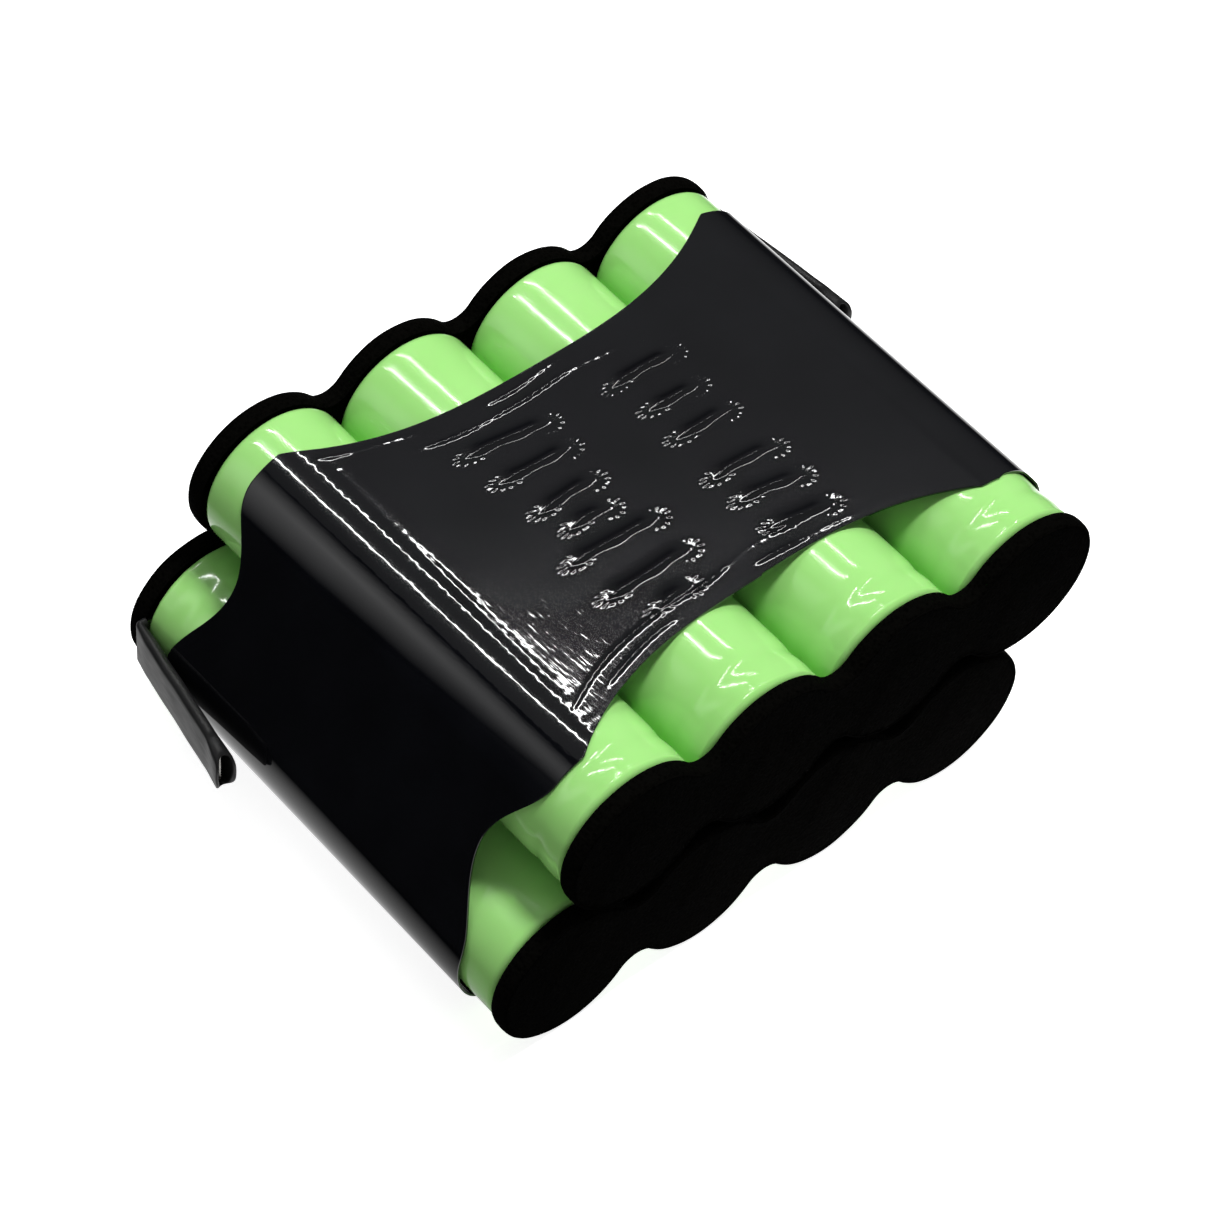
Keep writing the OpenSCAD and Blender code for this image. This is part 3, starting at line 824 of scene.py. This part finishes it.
def make_pad(side, row):
    """One foam strip, swollen over each cell and marked by the links under it."""
    name = f"pad_{side}_{row}"
    low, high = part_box(name)
    facing = -1 if side == "front" else 1
    near, far = (high.y, low.y) if side == "front" else (low.y, high.y)
    thick = abs(far - near)
    centres = [cell_axis(row, i)[0] for i in range(1, CELLS + 1)]
    z, radius = (low.z + high.z) / 2, (high.z - low.z) / 2
    outline = pad_outline(centres, z, radius, PAD_STEP)
    seed = len(name) + (3 if side == "front" else 0)
    wobble = PAD_WOBBLE * soft_noise(outline[:, 0], outline[:, 1], 2.6 * MM, seed)
    outline = inset(outline, wobble - PAD_OVER)
    past = np.maximum(centres[0] - outline[:, 0], outline[:, 0] - centres[-1]) / radius
    outline[:, 0] += PAD_END * np.sign(outline[:, 0]) * np.clip(past, 0, 1)

    points, faces = [], []
    count = len(outline)
    for by, share in PAD_RINGS:
        y = near + facing * thick * share
        points += [(p[0], y, p[1]) for p in inset(outline, by * MM)]
    for k in range(len(PAD_RINGS) - 1):
        for c in range(count):
            n = (c + 1) % count
            quad = (k * count + c, k * count + n, (k + 1) * count + n, (k + 1) * count + c)
            faces.append(quad if facing < 0 else quad[::-1])

    last_by, last_share = PAD_RINGS[-1]
    rim_y = near + facing * thick * last_share

    def outer_face(flat, gap):
        px, pz = flat[:, 0], flat[:, 1]
        r = np.min([np.hypot(px - c, pz - z) for c in centres], axis=0)
        relief = PAD_SWELL * (1 - (r / radius) ** 2) + LINK_MARK * link_marks(side, row, px, pz)
        relief += PAD_WOBBLE * soft_noise(px, pz, 3.2 * MM, seed + 1)
        return rim_y + facing * (0.015 * thick + relief) * smooth(gap / FACE_SPACING)

    def inner_face(flat, gap):
        return np.full(len(flat), near)

    for by, spacing, level, outward in (
            (last_by, FACE_SPACING, outer_face, facing),
            (PAD_RINGS[0][0], BACK_SPACING, inner_face, -facing)):
        loop = inset(outline, by * MM)
        more, triangles = fill_loop(loop, spacing, level, outward, len(points))
        points += more
        faces += triangles
    obj = make_object(f"foam_{side}_{row}", points, faces, FOAM)
    work = bmesh.new()
    work.from_mesh(obj.data)
    bmesh.ops.remove_doubles(work, verts=work.verts, dist=1e-7)
    work.to_mesh(obj.data)
    work.free()
    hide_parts(name)
    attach(obj, "pack")


# ---------------------------------------------------------------- lead sleeves

TUBE_WALL = 0.25 * MM
TUBE_ROOT = 0.42 * MM  # how far in from the fold the tube starts, before its bend
TUBE_BEND = 0.26 * MM
TUBE_CORNER = 1.7 * MM  # radius of the open end's corners
MOUTH = 3.2 * MM  # length over which the open end widens
TUBE_INSIDE = 4.0  # how far back the inner wall is modelled, in mm
ROUND_FROM = 2.45 * MM - TUBE_CORNER  # the corners start this far from the tube's middle


def tube_section(at, length, shrink):
    """(across, up) points round a lead's tube, at a distance from its fold."""
    open_up = smooth((at - (length - MOUTH)) / MOUTH)
    settle = smooth((at + 0.2 * MM) / (2.4 * MM))
    thick = (0.36 + 0.19 * settle + 0.32 * open_up) * MM - shrink
    wide = (2.65 + 0.05 * settle - 0.35 * open_up) * MM - shrink
    bulge = (0.03 + 0.10 * open_up) * MM
    flat = wide - thick
    points = []
    for side in (1, -1):
        for t in np.linspace(-1, 1, 11)[:-1]:
            points.append((side * (thick + bulge * (1 - t * t)), side * t * flat))
        for a in math.pi * np.arange(8) / 8:
            points.append((side * thick * math.cos(a), side * (flat + thick * math.sin(a))))
    return np.array(points)


def lead_line(fold, outward, ahead, length):
    """(point, direction) pairs: out from under the pad, round the fold, then forward."""
    line = []
    for t in np.linspace(0, 0.55, 4):
        line.append((fold - outward * (TUBE_ROOT + TUBE_BEND) * (1 - t), outward))
    a, b = fold - outward * TUBE_BEND, fold + ahead * TUBE_BEND
    for t in np.linspace(0, 1, 9):
        p = a * (1 - t) ** 2 + fold * 2 * t * (1 - t) + b * t ** 2
        d = (fold - a) * (1 - t) + (b - fold) * t
        line.append((p, d / np.linalg.norm(d)))
    straight = np.linspace(0.6 * MM, length - 4 * MM, 26)
    mouth = np.linspace(length - 3.8 * MM, length, 20)
    return line + [(fold + ahead * at, ahead) for at in np.concatenate([straight, mouth])]


def make_lead(sign):
    """A flattened tube that folds forward beside its cell and opens out at its end."""
    joint = next(j for j in frame["joints"] if j["name"] == f"{sign}_lead_fold")
    mount = next(m for m in frame["record"]["mounts"] if m["name"] == f"{sign}_lead_tip")
    fold, tip = np.array(joint["pos_m"]), np.array(mount["pos_m"])
    length = np.linalg.norm(tip - fold)
    ahead = (tip - fold) / length
    out = 1 if fold[0] > 0 else -1
    outward = np.array((out, 0.0, 0.0))

    travelled = -(TUBE_ROOT + TUBE_BEND)
    stations = []
    for p, d in lead_line(fold, outward, ahead, length):
        if stations:
            travelled += float(np.linalg.norm(p - stations[-1][0]))
        stations.append((p, d, travelled))
    total = travelled
    points = []

    def ring(p, d, at, shrink):
        section = tube_section(at, length, shrink)
        across = np.array((d[1], -d[0], 0.0)) * (-out)
        rise = np.clip((np.abs(section[:, 1]) - ROUND_FROM) / TUBE_CORNER, 0, 1)
        cut = TUBE_CORNER * (1 - np.sqrt(np.clip(1 - rise ** 2, 0, 1)))
        cut = cut * smooth((at - (total - 4 * MM)) / (4 * MM))
        sway = soft_noise(np.full(len(section), at), section[:, 1], 2.5 * MM, 21 + out)
        for (n, up), c, w in zip(section, cut, 0.04 * MM * sway):
            points.append(p + across * (n + w) + np.array((0, 0, up)) - d * c)
        return len(section)

    for p, d, at in stations:
        around = ring(p, d, at, 0)
    for share in (0.3, 0.7):
        ring(p + d * 0.06 * MM, d, at, TUBE_WALL * share)
    for back in np.linspace(0, TUBE_INSIDE, 9):
        ring(p - d * back * MM, d, at - back * MM, TUBE_WALL)
    faces = []
    for k in range(len(points) // around - 1):
        for c in range(around):
            n = (c + 1) % around
            quad = (k * around + c, k * around + n, (k + 1) * around + n, (k + 1) * around + c)
            faces.append(quad if out > 0 else quad[::-1])
    obj = make_object(f"{sign}_lead_tube", points, faces, SLEEVE)
    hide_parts(f"{sign}_lead_sleeve")
    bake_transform(obj)


# ---------------------------------------------------------------- floor, lights and camera

FLOOR_SIZE = 4.0
FLOOR_GLOW = 0.8
FLOOR_BOUNCE = 0.5
BOUNCE_DROP = 0.5 * MM  # the bounce sheet lies this far under the floor
SHEEN = 3.2
SHEEN_SIZE = 0.15
SHEEN_AT = Vector((0.02, 0.02, 0.0001))
WHITE = (1, 1, 1, 1)
# The thin lamps: (first end in mm, last end in mm, width in metres, radiance).
TUBES = {
    "tube_right": ((100, 483, 684), (450, 317, 684), 0.008, 42),
    "tube_left": ((-200, 470, 684), (150, 227, 684), 0.009, 45),
}
# The broad lights, which shiny surfaces do not mirror: (place, size, watts).
AREAS = {
    "key_above": ((0.28, -0.02, 1.0), (0.16, 0.16), 9.6),
    "fill_front": ((-0.7, -0.9, 0.9), (0.5, 0.4), 1.0),
}
PANEL_AT = (-0.30, 0.22, 0.26)
PANEL_SIZE = (0.14, 0.6)
PANEL_GLOW = 1.2
# The room's light rises from dark to bright along this direction.
ROOM_UP = (0.3, -0.6, 1)
ROOM_DARK = 0.01
ROOM_BRIGHT = 0.21
ROOM_FROM = -0.15
ROOM_TO = 0.55
CAMERA_AZ = -44.461
CAMERA_EL = 50.633
CAMERA_ROLL = 5.586
CAMERA_DISTANCE = 380.85 * MM
CAMERA_LENS = 127.5
CAMERA_SENSOR = 36
TARGET_OFFSET = Vector((0.44, -0.47, -1.82)) * MM


def sheet(name, size, material, z=0.0):
    """A flat rectangle about the origin."""
    x, y = size[0] / 2, size[1] / 2
    corners = [(-x, -y, z), (x, -y, z), (x, y, z), (-x, y, z)]
    return make_object(name, corners, [(0, 1, 2, 3)], material, False)


def make_floor():
    """An evenly lit white table, with a dimmer sheet under it that lights the pack from below."""
    mat, tree, shader = new_material("studio_floor", Roughness=0.7, Emission_Strength=FLOOR_GLOW,
                                     Emission_Color=WHITE)
    broad = noise(tree, object_coords(tree), scale=3, detail=2.0)
    colour_by(tree, shader, broad, (0.86, 0.86, 0.86), (0.88, 0.88, 0.88))
    floor = sheet("floor", (FLOOR_SIZE, FLOOR_SIZE), mat)
    floor.visible_glossy = False
    floor.visible_diffuse = False
    mat, _, _ = new_material("floor_bounce", Roughness=0.8, Emission_Strength=FLOOR_BOUNCE,
                             Emission_Color=WHITE, Base_Color=(0.5, 0.5, 0.5, 1))
    bounce = sheet("floor_bounce", (FLOOR_SIZE, FLOOR_SIZE), mat, -BOUNCE_DROP)
    bounce.visible_glossy = False
    bounce.visible_camera = False
    # Shiny surfaces see only this patch of the floor, which fades out away from the pack.
    down = SHEEN_AT - Vector((0, 0, 1))
    card = soft_panel("floor_sheen", SHEEN_AT, down, (SHEEN_SIZE, SHEEN_SIZE), SHEEN)
    card.visible_diffuse = False
    card.visible_shadow = False


def aim(obj, centre, target):
    """Puts an object at a place, with its Z axis pointing away from a target."""
    turn = (Vector(centre) - Vector(target)).to_track_quat("Z", "Y").to_matrix().to_4x4()
    obj.matrix_world = Matrix.Translation(centre) @ turn


def add_area(name, size, power):
    """A rectangular light that the camera does not see."""
    data = bpy.data.lights.new(name, "AREA")
    data.shape = "RECTANGLE"
    data.size, data.size_y = size
    data.energy = power
    obj = bpy.data.objects.new(name, data)
    bpy.context.scene.collection.objects.link(obj)
    obj.visible_camera = False
    return obj


def tube_light(name, first, last, width, radiance):
    """A long thin lamp between two points in millimetres, facing the origin."""
    a, b = Vector(first) * MM, Vector(last) * MM
    length = (b - a).length
    along = (b - a).normalized()
    centre = (a + b) / 2
    back = (centre - along * centre.dot(along)).normalized()
    obj = add_area(name, (length, width), radiance * length * width * 4)
    turn = Matrix((along, back.cross(along), back)).transposed().to_4x4()
    obj.matrix_world = Matrix.Translation(centre) @ turn


def soft_panel(name, centre, target, size, radiance):
    """A diffuser that fades out towards its edges; the camera does not see it."""
    mat = bpy.data.materials.new(name)
    mat.use_nodes = True
    tree = mat.node_tree
    tree.nodes.remove(tree.nodes["Principled BSDF"])
    where = object_coords(tree, (2 / size[0], 2 / size[1], 1))
    fade = tree.nodes.new("ShaderNodeTexGradient")
    fade.gradient_type = "SPHERICAL"
    glow = tree.nodes.new("ShaderNodeEmission")
    tree.links.new(where, fade.inputs["Vector"])
    strength = spread(tree, fade.outputs["Fac"], 0, radiance, 0, 1)
    tree.links.new(strength, glow.inputs["Strength"])
    tree.links.new(glow.outputs["Emission"], tree.nodes["Material Output"].inputs["Surface"])
    panel = sheet(name, size, mat)
    aim(panel, centre, target)
    panel.visible_camera = False
    return panel


def make_lights(centre):
    for name, (first, last, width, radiance) in TUBES.items():
        tube_light(name, first, last, width, radiance)
    soft_panel("panel_left", PANEL_AT, centre, PANEL_SIZE, PANEL_GLOW)
    for name, (place, size, power) in AREAS.items():
        light = add_area(name, size, power)
        aim(light, place, centre)
        light.visible_glossy = False


def make_world():
    """A dim room, brightest overhead and towards the front right, and dark behind the pack."""
    world = bpy.data.worlds.new("studio")
    world.use_nodes = True
    tree = world.node_tree
    glow = tree.nodes["Background"]
    glow.inputs["Color"].default_value = WHITE
    direction = tree.nodes.new("ShaderNodeTexCoord")
    height = tree.nodes.new("ShaderNodeVectorMath")
    height.operation = "DOT_PRODUCT"
    height.inputs[1].default_value = ROOM_UP
    tree.links.new(direction.outputs["Generated"], height.inputs[0])
    strength = spread(tree, height.outputs["Value"], ROOM_DARK, ROOM_BRIGHT, ROOM_FROM, ROOM_TO)
    tree.links.new(strength, glow.inputs["Strength"])
    bpy.context.scene.world = world


def make_camera(centre):
    """The camera that was fitted to the photo."""
    az, el, roll = (math.radians(v) for v in (CAMERA_AZ, CAMERA_EL, CAMERA_ROLL))
    back = Vector((math.sin(az) * math.cos(el), -math.cos(az) * math.cos(el), math.sin(el)))
    right = Vector((math.cos(az), math.sin(az), 0))
    up = back.cross(right)
    x = right * math.cos(roll) + up * math.sin(roll)
    y = up * math.cos(roll) - right * math.sin(roll)
    data = bpy.data.cameras.new("studio_camera")
    data.lens = CAMERA_LENS
    data.sensor_width = CAMERA_SENSOR
    data.clip_start = 0.01
    data.clip_end = 20
    obj = bpy.data.objects.new("studio_camera", data)
    bpy.context.scene.collection.objects.link(obj)
    place = centre + TARGET_OFFSET + back * CAMERA_DISTANCE
    obj.matrix_world = Matrix.Translation(place) @ Matrix((x, y, back)).transposed().to_4x4()
    bpy.context.scene.camera = obj


box_low, box_high = (Vector(c) for c in cad_box)
box_centre = (box_low + box_high) / 2
make_camera(box_centre)
make_floor()
make_lights(box_centre)
make_world()
paint_cad_nodes()
for row_name in ROWS:
    for cell in range(1, CELLS + 1):
        make_wrap(row_name, cell)
make_film()
for side_name in ("front", "back"):
    for row_name in ROWS:
        make_pad(side_name, row_name)
for lead_sign in ("positive", "negative"):
    make_lead(lead_sign)

settings = bpy.context.scene.view_settings
settings.view_transform = "Standard"
settings.look = "None"
